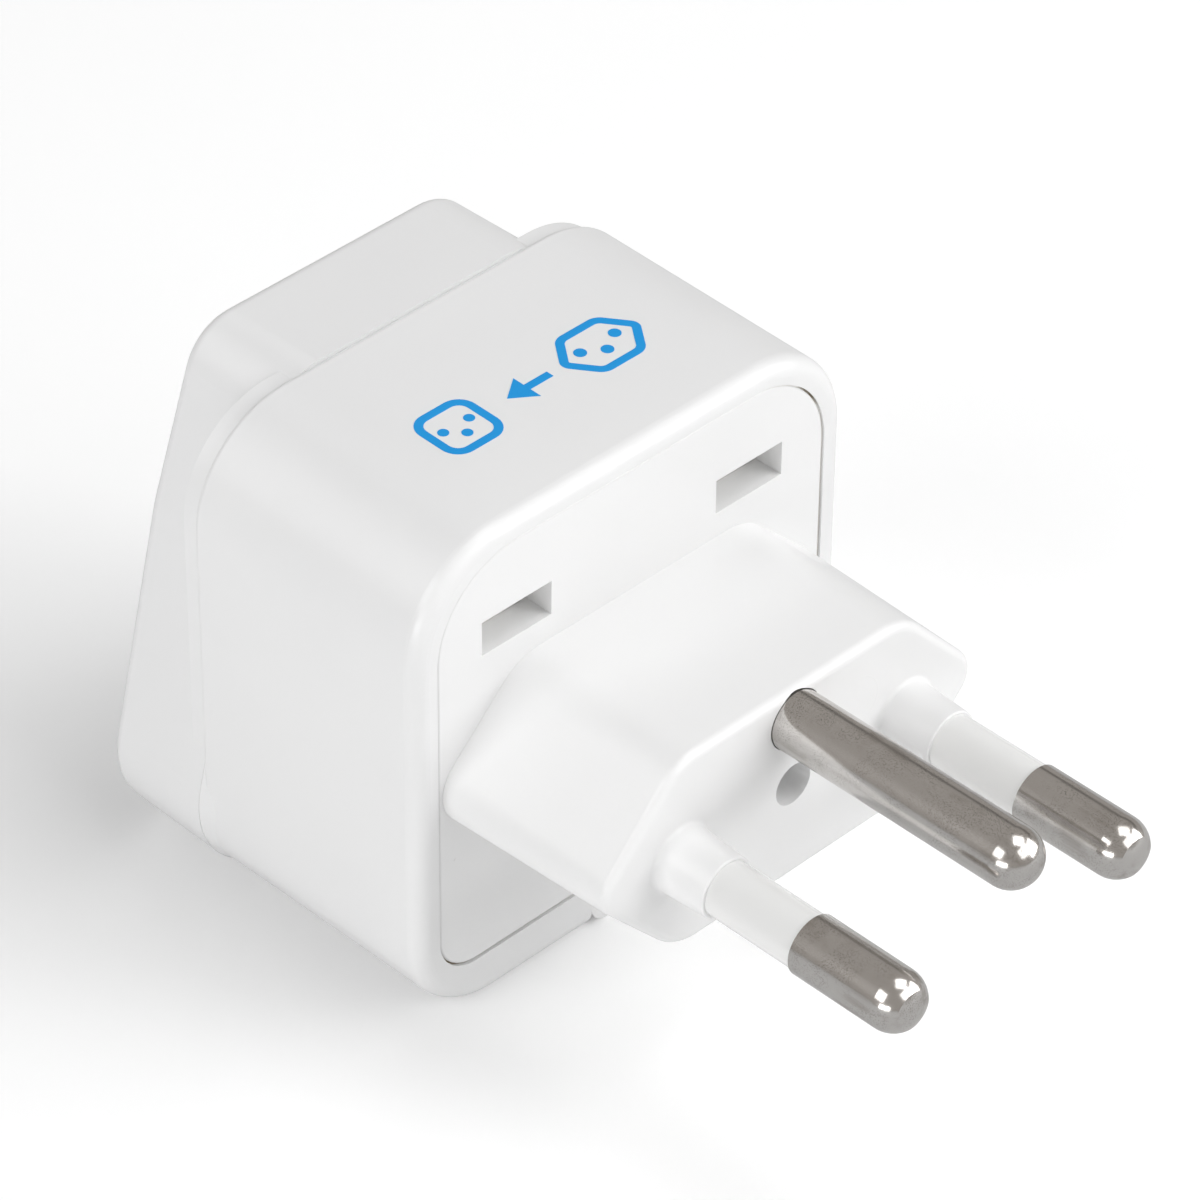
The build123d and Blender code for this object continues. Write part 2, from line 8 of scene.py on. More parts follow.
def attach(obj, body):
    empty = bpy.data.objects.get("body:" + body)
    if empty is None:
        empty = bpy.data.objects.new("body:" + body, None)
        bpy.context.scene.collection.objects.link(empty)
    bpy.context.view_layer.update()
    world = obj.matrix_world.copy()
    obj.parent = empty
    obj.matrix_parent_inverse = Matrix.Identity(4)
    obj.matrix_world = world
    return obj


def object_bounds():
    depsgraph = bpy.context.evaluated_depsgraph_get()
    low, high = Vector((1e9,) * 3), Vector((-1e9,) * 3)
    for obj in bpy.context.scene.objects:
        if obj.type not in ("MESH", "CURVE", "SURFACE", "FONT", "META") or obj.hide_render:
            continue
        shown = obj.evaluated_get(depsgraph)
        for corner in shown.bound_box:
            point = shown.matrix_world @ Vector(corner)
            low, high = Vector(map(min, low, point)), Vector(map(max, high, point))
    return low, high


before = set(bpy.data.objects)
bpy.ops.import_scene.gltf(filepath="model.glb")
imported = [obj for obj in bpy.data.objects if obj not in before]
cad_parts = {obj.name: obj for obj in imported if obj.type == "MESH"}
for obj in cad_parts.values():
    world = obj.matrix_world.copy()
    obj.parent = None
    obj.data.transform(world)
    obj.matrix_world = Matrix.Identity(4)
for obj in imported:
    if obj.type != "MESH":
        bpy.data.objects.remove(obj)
cad_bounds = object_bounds()

# One millimetre in Blender's metres
MM = 0.001

# Camera, as fitted to the photograph's frame of 1200 by 1200; lens and sensor in millimetres
CAMERA_PLACE = Vector((-0.20808, -0.19072, 0.23806))
CAMERA_TARGET = Vector((-0.003388, 0.012851, 0.008391))
CAMERA_ROLL = radians(0.623)
CAMERA_LENS = 187.79
CAMERA_SENSOR = 36.0
CAMERA_NEAR = 0.01

# Opening of the front plate in the rim, and the closed shell outline at the rear seam
PLATE_OPENING = {
    "half_width": 16.18 * MM,
    "top": 16.28 * MM,
    "bottom": 14.18 * MM,
    "top_radius": 6.28 * MM,
    "bottom_radius": 3.08 * MM,
}
SHELL_END = {
    "half_width": 18.09 * MM,
    "top": 17.89 * MM,
    "bottom": 17.6 * MM,
    "top_radius": 7.4 * MM,
    "bottom_radius": 6.5 * MM,
}

# Bead in the groove round the front plate, leaning with the plate, and its stains
BEAD_FRONT = 13.44 * MM
BEAD_LENGTH = 0.4 * MM
BEAD_WIDTH = 0.24 * MM
BEAD_LEAN = radians(0.14)
STAIN_PLACES = (
    (-15.3 * MM, 13.4 * MM, -13.4 * MM),
    (15.0 * MM, 13.4 * MM, 14.2 * MM),
    (-16.2 * MM, 13.4 * MM, -1.5 * MM),
)
STAIN_CORE = 1.7 * MM
STAIN_EDGE = 3.2 * MM
STAIN_RAGGEDNESS = 2.4 * MM

# Flash over the top of the rear seam, with slanting ends
TOP_FLASH_FRONT = 31.8 * MM
TOP_FLASH_LENGTH = 0.43 * MM
TOP_FLASH_INSET = 0.21 * MM
TOP_FLASH_WIDTH = 0.5 * MM
TOP_FLASH_BOTTOM = 12 * MM
TOP_FLASH_HALF_SPAN = 10.6 * MM
TOP_FLASH_END_HEIGHT = 17.6 * MM
TOP_FLASH_END_SLANT = 0.4

# Flash round the lower part of the rear seam, drawn in towards the plug
LOW_FLASH_REAR = 32.26 * MM
LOW_FLASH_SHARE = 0.9985
LOW_FLASH_WIDTH = 0.8 * MM
LOW_FLASH_LENGTH = 1.7 * MM
LOW_FLASH_TAPER = (0.965, 1, 0.985)
LOW_FLASH_TOP = 2 * MM

# Lip of each collar round its sleeve
SLEEVED_PIN_OFFSET = 9.5 * MM
LIP_INNER_RADIUS = 1.80 * MM
LIP_OUTER_RADIUS = 1.92 * MM
LIP_FRONT = -3.835 * MM
LIP_REAR = -3.5 * MM

# Ring beside the earth pin
EJECTOR_PLACE = (5.3 * MM, 3.1 * MM)
EJECTOR_RADII = (1.72 * MM, 1.82 * MM, 1.92 * MM)
EJECTOR_RIDGE = -0.012 * MM
EJECTOR_FOOT = 0.01 * MM

# Top of the body, which rises to the rear, and the mark printed on it
TOP_FRONT = Vector((0, 13.3 * MM, 17.6 * MM))
TOP_REAR = Vector((0, 32.2 * MM, 17.9 * MM))
MARK_MIDDLE = Vector((0.21 * MM, 21.9 * MM, 0))
INK_THICKNESS = 0.04 * MM
INK_STROKE = 0.58 * MM
PLUG_MARK_X = -5.3 * MM
PLUG_MARK_HALF_WIDTH = 3.35 * MM
PLUG_MARK_HALF_HEIGHT = 2.25 * MM
PLUG_MARK_CORNER = 0.5 * MM
PLUG_DOTS = ((-6.75 * MM, -0.25 * MM), (-3.85 * MM, -0.25 * MM), (-5.3 * MM, 0.6 * MM))
PLUG_DOT_RADIUS = 0.42 * MM
ARROW_SHAFT_PLACE = (-0.15 * MM, 0)
ARROW_SHAFT_LENGTH = 1.9 * MM
ARROW_HEAD_BASE = 0.8 * MM
ARROW_HEAD_SCALE = (1.1 * MM, 1.35 * MM, 1)
SOCKET_MARK_PLACE = (6.4 * MM, 0)
SOCKET_MARK_WIDTH = 4.5 * MM
SOCKET_MARK_CORNER = 1.3 * MM
SOCKET_DOTS = ((5.35 * MM, -0.2 * MM), (7.45 * MM, -0.2 * MM), (6.4 * MM, 0.75 * MM))
SOCKET_DOT_RADIUS = 0.36 * MM
# Width of a hexagon across its flats, as a share of its width across its corners
HEXAGON_FLAT_SHARE = 0.866

# Distances, in metres, within which points are merged or a cut catches them
FINE_MERGE = 1e-7
MESH_MERGE = 0.01 * MM
SECTION_MERGE = 0.02 * MM
SECTION_CATCH = 1e-7
CUT_CATCH = 1e-8

# Studio floor, and the place that every light is pointed at
FLOOR_HALF_WIDTH = 4.0
LIGHT_AIM = Vector((0, 12 * MM, 0))

# Colours
SPECK_BROWN = (0.33, 0.30, 0.27, 1)
PINHOLE_GREY = (0.30, 0.28, 0.26, 1)
STAIN_BROWN = (0.16, 0.12, 0.07, 1)
WHITE = (1.0, 1.0, 1.0, 1)
MIRRORED_FLOOR = (0.50, 0.50, 0.50, 1)
MIRRORED_ROOM = (0.40, 0.378, 0.355, 1)
MIRRORED_DOORWAY = (0.15, 0.14, 0.13, 1)

# Places of the two colours and of the result among the sockets of a Mix node
MIX_FIRST = 6
MIX_SECOND = 7
MIX_RESULT = 2

SURFACE_OUTPUTS = (
    ("Colour", "NodeSocketColor"),
    ("Roughness", "NodeSocketFloat"),
    ("Height", "NodeSocketFloat"),
)


def node_group(name, inputs):
    """Start a surface node group with named inputs and the shared outputs."""
    group = bpy.data.node_groups.new(name, "ShaderNodeTree")
    for label, default in inputs:
        kind = "NodeSocketColor" if hasattr(default, "__len__") else "NodeSocketFloat"
        socket = group.interface.new_socket(label, in_out="INPUT", socket_type=kind)
        socket.default_value = default
    for label, kind in SURFACE_OUTPUTS:
        group.interface.new_socket(label, in_out="OUTPUT", socket_type=kind)
    return group, group.nodes.new("NodeGroupInput"), group.nodes.new("NodeGroupOutput")


def feed(tree, socket, value):
    """Link a socket to another node's output, or set it to a plain number or colour."""
    if isinstance(value, bpy.types.NodeSocket):
        tree.links.new(value, socket)
    else:
        socket.default_value = value


def noise(tree, vector, scale, detail=2.0):
    """Noise texture on the given coordinates."""
    node = tree.nodes.new("ShaderNodeTexNoise")
    feed(tree, node.inputs["Scale"], scale)
    node.inputs["Detail"].default_value = detail
    tree.links.new(vector, node.inputs["Vector"])
    return node.outputs["Fac"]


def ramp(tree, value, low, high, low_out=0.0, high_out=1.0):
    """Map a value smoothly from one range to another."""
    node = tree.nodes.new("ShaderNodeMapRange")
    node.interpolation_type = "SMOOTHSTEP"
    node.inputs["From Min"].default_value = low
    node.inputs["From Max"].default_value = high
    node.inputs["To Min"].default_value = low_out
    node.inputs["To Max"].default_value = high_out
    tree.links.new(value, node.inputs["Value"])
    return node.outputs["Result"]


def fade(tree, value, full, none):
    """One at the first value, falling smoothly to zero at the second."""
    return ramp(tree, value, full, none, 1.0, 0.0)


def maths(tree, operation, first, second):
    """Math node on two sockets or numbers."""
    node = tree.nodes.new("ShaderNodeMath")
    node.operation = operation
    feed(tree, node.inputs[0], first)
    feed(tree, node.inputs[1], second)
    return node.outputs["Value"]


def mix_colour(tree, mask, first, second):
    """Blend two colours, each a socket or a plain colour, by a mask."""
    node = tree.nodes.new("ShaderNodeMix")
    node.data_type = "RGBA"
    tree.links.new(mask, node.inputs["Factor"])
    feed(tree, node.inputs[MIX_FIRST], first)
    feed(tree, node.inputs[MIX_SECOND], second)
    return node.outputs[MIX_RESULT]


def scattered_dots(tree, vector, scale, core, edge, spread):
    """Mask of small round dots, one in each cell, where the spread mask has them."""
    cells = tree.nodes.new("ShaderNodeTexVoronoi")
    cells.inputs["Scale"].default_value = scale
    tree.links.new(vector, cells.inputs["Vector"])
    return maths(tree, "MULTIPLY", fade(tree, cells.outputs["Distance"], core, edge), spread)


def build_moulding_group():
    """Moulded plastic: slow tint drift, fine surface texture and rare dark specks."""
    group, start, end = node_group(
        "moulded plastic",
        [
            ("Base", (0.8, 0.8, 0.8, 1)),
            ("Shade", (0.75, 0.75, 0.75, 1)),
            ("Roughness", 0.3),
            ("Grain Scale", 4000.0),
            ("Speck Amount", 0.0),
        ],
    )
    place = group.nodes.new("ShaderNodeTexCoord").outputs["Object"]
    drift = ramp(group, noise(group, place, scale=60.0, detail=3.0), low=0.3, high=0.7)
    tinted = mix_colour(group, drift, start.outputs["Base"], start.outputs["Shade"])
    speck_spread = ramp(group, noise(group, place, scale=190.0), low=0.66, high=0.70)
    specks = scattered_dots(group, place, 420.0, core=0.03, edge=0.07, spread=speck_spread)
    speck_mask = maths(group, "MULTIPLY", specks, start.outputs["Speck Amount"])
    speckled = mix_colour(group, speck_mask, tinted, SPECK_BROWN)
    group.links.new(speckled, end.inputs["Colour"])
    smudge_noise = noise(group, place, scale=140.0, detail=4.0)
    smudge = ramp(group, smudge_noise, low=0.35, high=0.65, low_out=-0.03, high_out=0.04)
    rough = maths(group, "ADD", start.outputs["Roughness"], smudge)
    group.links.new(rough, end.inputs["Roughness"])
    grain = noise(group, place, start.outputs["Grain Scale"], detail=3.0)
    waves = maths(group, "MULTIPLY", noise(group, place, scale=90.0), 6.0)
    group.links.new(maths(group, "ADD", grain, waves), end.inputs["Height"])
    return group


def build_metal_group():
    """Plated or stamped metal: drawn streaks along the part, dull patches, pits and pinholes."""
    group, start, end = node_group(
        "worked metal",
        [
            ("Bright", (0.7, 0.68, 0.66, 1)),
            ("Dull", (0.5, 0.47, 0.44, 1)),
            ("Roughness", 0.15),
            ("Pit Scale", 2600.0),
            ("Pinholes", 0.0),
        ],
    )
    place = group.nodes.new("ShaderNodeTexCoord").outputs["Object"]
    stretch = group.nodes.new("ShaderNodeMapping")
    stretch.inputs["Scale"].default_value = (1.0, 0.06, 1.0)
    group.links.new(place, stretch.inputs["Vector"])
    streak_noise = noise(group, stretch.outputs["Vector"], scale=2200.0, detail=3.0)
    streaks = ramp(group, streak_noise, low=0.35, high=0.75)
    patches = ramp(group, noise(group, place, scale=420.0, detail=4.0), low=0.42, high=0.68)
    dull = maths(group, "MULTIPLY", streaks, patches)
    plated = mix_colour(group, dull, start.outputs["Bright"], start.outputs["Dull"])
    hole_spread = ramp(group, noise(group, place, scale=500.0, detail=4.0), low=0.40, high=0.58)
    pinholes = scattered_dots(group, place, 11000.0, core=0.18, edge=0.42, spread=hole_spread)
    pinhole_mask = maths(group, "MULTIPLY", pinholes, start.outputs["Pinholes"])
    spotted = mix_colour(group, pinhole_mask, plated, PINHOLE_GREY)
    group.links.new(spotted, end.inputs["Colour"])
    rough = maths(group, "ADD", start.outputs["Roughness"], maths(group, "MULTIPLY", dull, 0.09))
    group.links.new(rough, end.inputs["Roughness"])
    pits = noise(group, place, start.outputs["Pit Scale"], detail=4.0)
    group.links.new(maths(group, "ADD", pits, streaks), end.inputs["Height"])
    return group


def surface_material(name, group, values, bump_height, bump_strength, shader_values):
    """Material with a Principled shader fed by one of the surface groups."""
    material = bpy.data.materials.new(name)
    material.use_nodes = True
    tree = material.node_tree
    shader = tree.nodes["Principled BSDF"]
    surface = tree.nodes.new("ShaderNodeGroup")
    surface.node_tree = group
    for label, value in values.items():
        surface.inputs[label].default_value = value
    bump = tree.nodes.new("ShaderNodeBump")
    bump.inputs["Distance"].default_value = bump_height
    bump.inputs["Strength"].default_value = bump_strength
    tree.links.new(surface.outputs["Colour"], shader.inputs["Base Color"])
    tree.links.new(surface.outputs["Roughness"], shader.inputs["Roughness"])
    tree.links.new(surface.outputs["Height"], bump.inputs["Height"])
    tree.links.new(bump.outputs["Normal"], shader.inputs["Normal"])
    for label, value in shader_values.items():
        shader.inputs[label].default_value = value
    return material


def add_stains(material):
    """Darken a surface material in ragged spots round the stain places."""
    tree = material.node_tree
    place = tree.nodes.new("ShaderNodeTexCoord").outputs["Object"]
    ragged_noise = noise(tree, place, scale=900.0, detail=3.0)
    ragged = maths(tree, "MULTIPLY", ragged_noise, STAIN_RAGGEDNESS)
    surface = next(node for node in tree.nodes if node.type == "GROUP")
    colour = surface.outputs["Colour"]
    for middle in STAIN_PLACES:
        distance = tree.nodes.new("ShaderNodeVectorMath")
        distance.operation = "DISTANCE"
        tree.links.new(place, distance.inputs[0])
        distance.inputs[1].default_value = middle
        reach = maths(tree, "ADD", distance.outputs["Value"], ragged)
        spot = fade(tree, reach, STAIN_CORE, STAIN_EDGE)
        colour = mix_colour(tree, spot, colour, STAIN_BROWN)
    tree.links.new(colour, tree.nodes["Principled BSDF"].inputs["Base Color"])


moulding = build_moulding_group()
metalwork = build_metal_group()

glossy_plastic = {"Metallic": 0.0, "IOR": 1.5, "Coat Weight": 0.15, "Coat Roughness": 0.12}
matt_plastic = {"Metallic": 0.0}
printed_ink = {"Metallic": 0.0, "IOR": 1.45}
bare_metal = {"Metallic": 1.0}

body_white = surface_material(
    "glossy white body",
    moulding,
    {"Base": (0.775, 0.775, 0.775, 1), "Shade": (0.76, 0.76, 0.762, 1), "Roughness": 0.33},
    bump_height=0.004 * MM,
    bump_strength=0.25,
    shader_values=glossy_plastic,
)
insert_white = surface_material(
    "satin white insert",
    moulding,
    {
        "Base": (0.80, 0.80, 0.80, 1),
        "Shade": (0.785, 0.785, 0.785, 1),
        "Roughness": 0.36,
        "Speck Amount": 1.0,
    },
    bump_height=0.006 * MM,
    bump_strength=0.3,
    shader_values=glossy_plastic,
)
# Sleeve and collar-lip white: the sleeve's own smooth white, lifted above the other white plastics
# as painted light that stands in for the corner card's reflected light, which the sleeves do not
# receive
sleeve_white_painted_light = surface_material(
    "smooth white sleeve with painted light",
    moulding,
    {"Base": (0.87, 0.87, 0.862, 1), "Shade": (0.85, 0.85, 0.842, 1), "Roughness": 0.2},
    bump_height=0.003 * MM,
    bump_strength=0.2,
    shader_values=glossy_plastic,
)
carrier_white = surface_material(
    "matt inner moulding",
    moulding,
    {"Base": (0.72, 0.71, 0.68, 1), "Shade": (0.66, 0.65, 0.62, 1), "Roughness": 0.55},
    bump_height=0.01 * MM,
    bump_strength=0.5,
    shader_values=matt_plastic,
)
nickel = surface_material(
    "nickel plated pin",
    metalwork,
    {
        "Bright": (0.66, 0.64, 0.62, 1),
        "Dull": (0.46, 0.43, 0.40, 1),
        "Roughness": 0.17,
        "Pit Scale": 5200.0,
        "Pinholes": 0.8,
    },
    bump_height=0.003 * MM,
    bump_strength=0.6,
    shader_values=bare_metal,
)
spring_brass = surface_material(
    "stamped spring brass",
    metalwork,
    {"Bright": (0.78, 0.58, 0.25, 1), "Dull": (0.50, 0.34, 0.14, 1), "Roughness": 0.17},
    bump_height=0.003 * MM,
    bump_strength=0.4,
    shader_values=bare_metal,
)
zinc_steel = surface_material(
    "zinc plated steel",
    metalwork,
    {"Bright": (0.62, 0.63, 0.65, 1), "Dull": (0.40, 0.41, 0.43, 1), "Roughness": 0.17},
    bump_height=0.003 * MM,
    bump_strength=0.4,
    shader_values=bare_metal,
)
groove_white = surface_material(
    "stained groove",
    moulding,
    {"Base": (0.74, 0.735, 0.72, 1), "Shade": (0.60, 0.575, 0.53, 1), "Roughness": 0.5},
    bump_height=0.006 * MM,
    bump_strength=0.3,
    shader_values=matt_plastic,
)
add_stains(groove_white)
pad_ink = surface_material(
    "pad printed blue",
    moulding,
    {
        "Base": (0.004, 0.30, 0.73, 1),
        "Shade": (0.006, 0.32, 0.76, 1),
        "Roughness": 0.4,
        "Grain Scale": 9000.0,
    },
    bump_height=0.004 * MM,
    bump_strength=0.4,
    shader_values=printed_ink,
)

finishes = {
    "main_housing": body_white,
    "socket_head": body_white,
    "plug_insert": insert_white,
    "live_sleeve": sleeve_white_painted_light,
    "neutral_sleeve": sleeve_white_painted_light,
    "contact_carrier": carrier_white,
    "pin_clamp_plate": carrier_white,
    "body_screws": zinc_steel,
    "clamp_screws": zinc_steel,
}
for circuit in ("live", "neutral", "earth"):
    finishes[circuit + "_pin"] = nickel
    for brass_piece in ("_contact", "_strap", "_rivet"):
        finishes[circuit + brass_piece] = spring_brass
for node_name, finish in finishes.items():
    for material_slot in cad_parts[node_name].material_slots:
        material_slot.material = finish


def add_floor():
    """Plain pale floor under the part, which glossy surfaces see as grey."""
    material = bpy.data.materials.new("pale floor")
    material.use_nodes = True
    tree = material.node_tree
    shader = tree.nodes["Principled BSDF"]
    shader.inputs["Roughness"].default_value = 0.9
    shader.inputs["Specular IOR Level"].default_value = 0.1
    shader.inputs["Emission Color"].default_value = WHITE
    shader.inputs["Emission Strength"].default_value = 0.09
    rays = tree.nodes.new("ShaderNodeLightPath")
    tint = mix_colour(tree, rays.outputs["Is Glossy Ray"], WHITE, MIRRORED_FLOOR)
    tree.links.new(tint, shader.inputs["Base Color"])
    builder = bmesh.new()
    bmesh.ops.create_grid(builder, x_segments=2, y_segments=2, size=FLOOR_HALF_WIDTH)
    bmesh.ops.translate(builder, verts=builder.verts, vec=(0, 0, cad_bounds[0][2]))
    mesh = bpy.data.meshes.new("floor")
    builder.to_mesh(mesh)
    builder.free()
    mesh.materials.append(material)
    floor = bpy.data.objects.new("floor", mesh)
    bpy.context.collection.objects.link(floor)


add_floor()


def round_corners(builder, corners, radius, segments):
    """Round flat corners."""
    bmesh.ops.bevel(
        builder,
        geom=corners,
        offset=radius,
        offset_type="OFFSET",
        segments=segments,
        profile=0.5,
        affect="VERTICES",
        material=-1,
    )


def rounded_panel(builder, depth, inset, half_width, top, bottom, top_radius, bottom_radius):
    """One face across the part at a depth: a rectangle with rounded corners."""
    made = bmesh.ops.create_grid(builder, x_segments=1, y_segments=1, size=0.5)["verts"]
    width = 2 * (half_width - inset)
    height = top + bottom - 2 * inset
    middle = (top - bottom) / 2
    bmesh.ops.scale(builder, verts=made, vec=(width, height, 1))
    bmesh.ops.rotate(builder, verts=made, cent=(0, 0, 0), matrix=Matrix.Rotation(pi / 2, 3, "X"))
    bmesh.ops.translate(builder, verts=made, vec=(0, depth, middle))
    upper = [vert for vert in made if vert.co.z > middle]
    lower = [vert for vert in made if vert.co.z < middle]
    round_corners(builder, upper, top_radius - inset, segments=14)
    round_corners(builder, lower, bottom_radius - inset, segments=14)


def stroke(builder, faces, width):
    """Turn flat faces into outlines of an even width."""
    bmesh.ops.inset_region(
        builder, faces=faces, thickness=width, use_even_offset=True, use_boundary=True
    )
    bmesh.ops.delete(builder, geom=[face for face in faces if face.is_valid], context="FACES")


def thicken(builder, travel, growth=(1, 1, 1)):
    """Give all faces a thickness by extruding them along a vector, and scale the far side."""
    made = bmesh.ops.extrude_face_region(builder, geom=builder.faces[:])["geom"]
    moved = [item for item in made if isinstance(item, bmesh.types.BMVert)]
    bmesh.ops.scale(builder, verts=moved, vec=growth)
    bmesh.ops.translate(builder, verts=moved, vec=travel)
    bmesh.ops.recalc_face_normals(builder, faces=builder.faces[:])


def cut_off(builder, place, outward):
    """Cut away what lies beyond a plane and close the cut."""
    geometry = builder.verts[:] + builder.edges[:] + builder.faces[:]
    cut = bmesh.ops.bisect_plane(
        builder,
        geom=geometry,
        plane_co=place,
        plane_no=outward,
        clear_outer=True,
        dist=CUT_CATCH,
    )["geom_cut"]
    edges = [item for item in cut if isinstance(item, bmesh.types.BMEdge) and item.is_boundary]
    if edges:
        bmesh.ops.edgeloop_fill(builder, edges=edges)


def outline_ring(outline, depth, length, inset, width):
    """Closed ring of rectangular section that follows an outline."""
    builder = bmesh.new()
    rounded_panel(builder, depth, inset, **outline)
    stroke(builder, builder.faces[:], width)
    thicken(builder, (0, length, 0))
    return builder


def outer_outline(node_name, depth):
    """One face across the part: the outermost outline of a CAD node at a depth."""
    builder = bmesh.new()
    builder.from_mesh(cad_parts[node_name].data)
    bmesh.ops.remove_doubles(builder, verts=builder.verts[:], dist=MESH_MERGE)
    geometry = builder.verts[:] + builder.edges[:] + builder.faces[:]
    bmesh.ops.bisect_plane(
        builder,
        geom=geometry,
        plane_co=(0, depth, 0),
        plane_no=(0, 1, 0),
        clear_outer=True,
        clear_inner=True,
        dist=SECTION_CATCH,
    )
    bmesh.ops.remove_doubles(builder, verts=builder.verts[:], dist=SECTION_MERGE)
    # The outermost loop holds the point furthest to the side
    outermost = set()
    waiting = [max(builder.verts, key=lambda vert: vert.co.x)]
    while waiting:
        vert = waiting.pop()
        if vert not in outermost:
            outermost.add(vert)
            waiting += [edge.other_vert(vert) for edge in vert.link_edges]
    inner = [vert for vert in builder.verts if vert not in outermost]
    bmesh.ops.delete(builder, geom=inner, context="VERTS")
    bmesh.ops.edgeloop_fill(builder, edges=builder.edges[:])
    return builder


def turned_ring(builder, profile, centre):
    """Spin a closed profile of radius and depth pairs round a line along the depth."""
    corners = [
        builder.verts.new((centre[0] + radius, depth, centre[1])) for radius, depth in profile
    ]
    rim = [builder.edges.new(pair) for pair in zip(corners, corners[1:] + corners[:1])]
    bmesh.ops.spin(
        builder,
        geom=corners + rim,
        cent=(centre[0], 0, centre[1]),
        axis=(0, 1, 0),
        angle=2 * pi,
        steps=72,
        use_merge=True,
    )
    bmesh.ops.remove_doubles(builder, verts=builder.verts[:], dist=FINE_MERGE)
    bmesh.ops.recalc_face_normals(builder, faces=builder.faces[:])


def add_piece(builder, name, material, crease=40):
    """Make a finished piece that rides on the body; edges over the crease angle stay sharp."""
    crease_angle = radians(crease)
    for face in builder.faces:
        face.smooth = True
    for edge in builder.edges:
        edge.smooth = edge.calc_face_angle(pi) < crease_angle
    mesh = bpy.data.meshes.new(name)
    builder.to_mesh(mesh)
    builder.free()
    mesh.materials.append(material)
    piece = bpy.data.objects.new(name, mesh)
    bpy.context.collection.objects.link(piece)
    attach(piece, "root")
    return piece


# Moulded bead at the bottom of the groove round the front plate
bead = outline_ring(PLATE_OPENING, BEAD_FRONT, BEAD_LENGTH, inset=0.0, width=BEAD_WIDTH)
bmesh.ops.rotate(
    bead,
    verts=bead.verts[:],
    cent=(0, BEAD_FRONT, PLATE_OPENING["top"]),
    matrix=Matrix.Rotation(BEAD_LEAN, 3, "X"),
)
groove_bead = add_piece(bead, "groove_bead", groove_white)

# Moulding flash in the rear seam, over the top
seam_top = outline_ring(
    SHELL_END, TOP_FLASH_FRONT, TOP_FLASH_LENGTH, inset=TOP_FLASH_INSET, width=TOP_FLASH_WIDTH
)
cut_off(seam_top, (0, 0, TOP_FLASH_BOTTOM), (0, 0, -1))
for side in (-1, 1):
    flash_end = (side * TOP_FLASH_HALF_SPAN, 0, TOP_FLASH_END_HEIGHT)
    cut_off(seam_top, flash_end, (side, 0, TOP_FLASH_END_SLANT))
top_flash = add_piece(seam_top, "top_flash", body_white)

# Moulding flash in the rear seam, along the sides and round the lower corners
seam_low = outer_outline("socket_head", LOW_FLASH_REAR)
bmesh.ops.scale(seam_low, verts=seam_low.verts[:], vec=(LOW_FLASH_SHARE, 1, LOW_FLASH_SHARE))
stroke(seam_low, seam_low.faces[:], LOW_FLASH_WIDTH)
thicken(seam_low, (0, -LOW_FLASH_LENGTH, 0), LOW_FLASH_TAPER)
cut_off(seam_low, (0, 0, LOW_FLASH_TOP), (0, 0, 1))
low_flash = add_piece(seam_low, "low_flash", body_white)

# Moulded lip where each sleeve enters its collar
lips = bmesh.new()
lip_profile = [
    (LIP_INNER_RADIUS, LIP_FRONT),
    (LIP_OUTER_RADIUS, LIP_FRONT),
    (LIP_OUTER_RADIUS, LIP_REAR),
    (LIP_INNER_RADIUS, LIP_REAR),
]
for side in (-1, 1):
    turned_ring(lips, lip_profile, (side * SLEEVED_PIN_OFFSET, 0))
add_piece(lips, "collar_lips", sleeve_white_painted_light)

# Faint raised ring on the plug face, left by an ejector sleeve
ejector_mark = bmesh.new()
ejector_profile = list(zip(EJECTOR_RADII, (EJECTOR_FOOT, EJECTOR_RIDGE, EJECTOR_FOOT)))
turned_ring(ejector_mark, ejector_profile, EJECTOR_PLACE)
add_piece(ejector_mark, "ejector_ring", insert_white, crease=60)


def draw_polygon(builder, sides, turn, scale):
    """Filled polygon of the printed mark, turned and stretched about its middle."""
    made = bmesh.ops.create_circle(
        builder, cap_ends=True, segments=sides, radius=1.0, matrix=Matrix.Rotation(turn, 4, "Z")
    )["verts"]
    bmesh.ops.scale(builder, verts=made, vec=scale)
    return made


def draw_dots(builder, places, radius):
    """Filled dots of the printed mark."""
    for place in places:
        middle = Matrix.Translation((*place, 0))
        bmesh.ops.create_circle(builder, cap_ends=True, segments=32, radius=radius, matrix=middle)


def draw_box(builder, place, width, height, corner=0.0):
    """Filled box of the printed mark, with rounded corners where asked."""
    made = bmesh.ops.create_grid(builder, x_segments=1, y_segments=1, size=0.5)["verts"]
    bmesh.ops.scale(builder, verts=made, vec=(width, height, 1))
    bmesh.ops.translate(builder, verts=made, vec=(*place, 0))
    if corner:
        round_corners(builder, made, corner, segments=8)


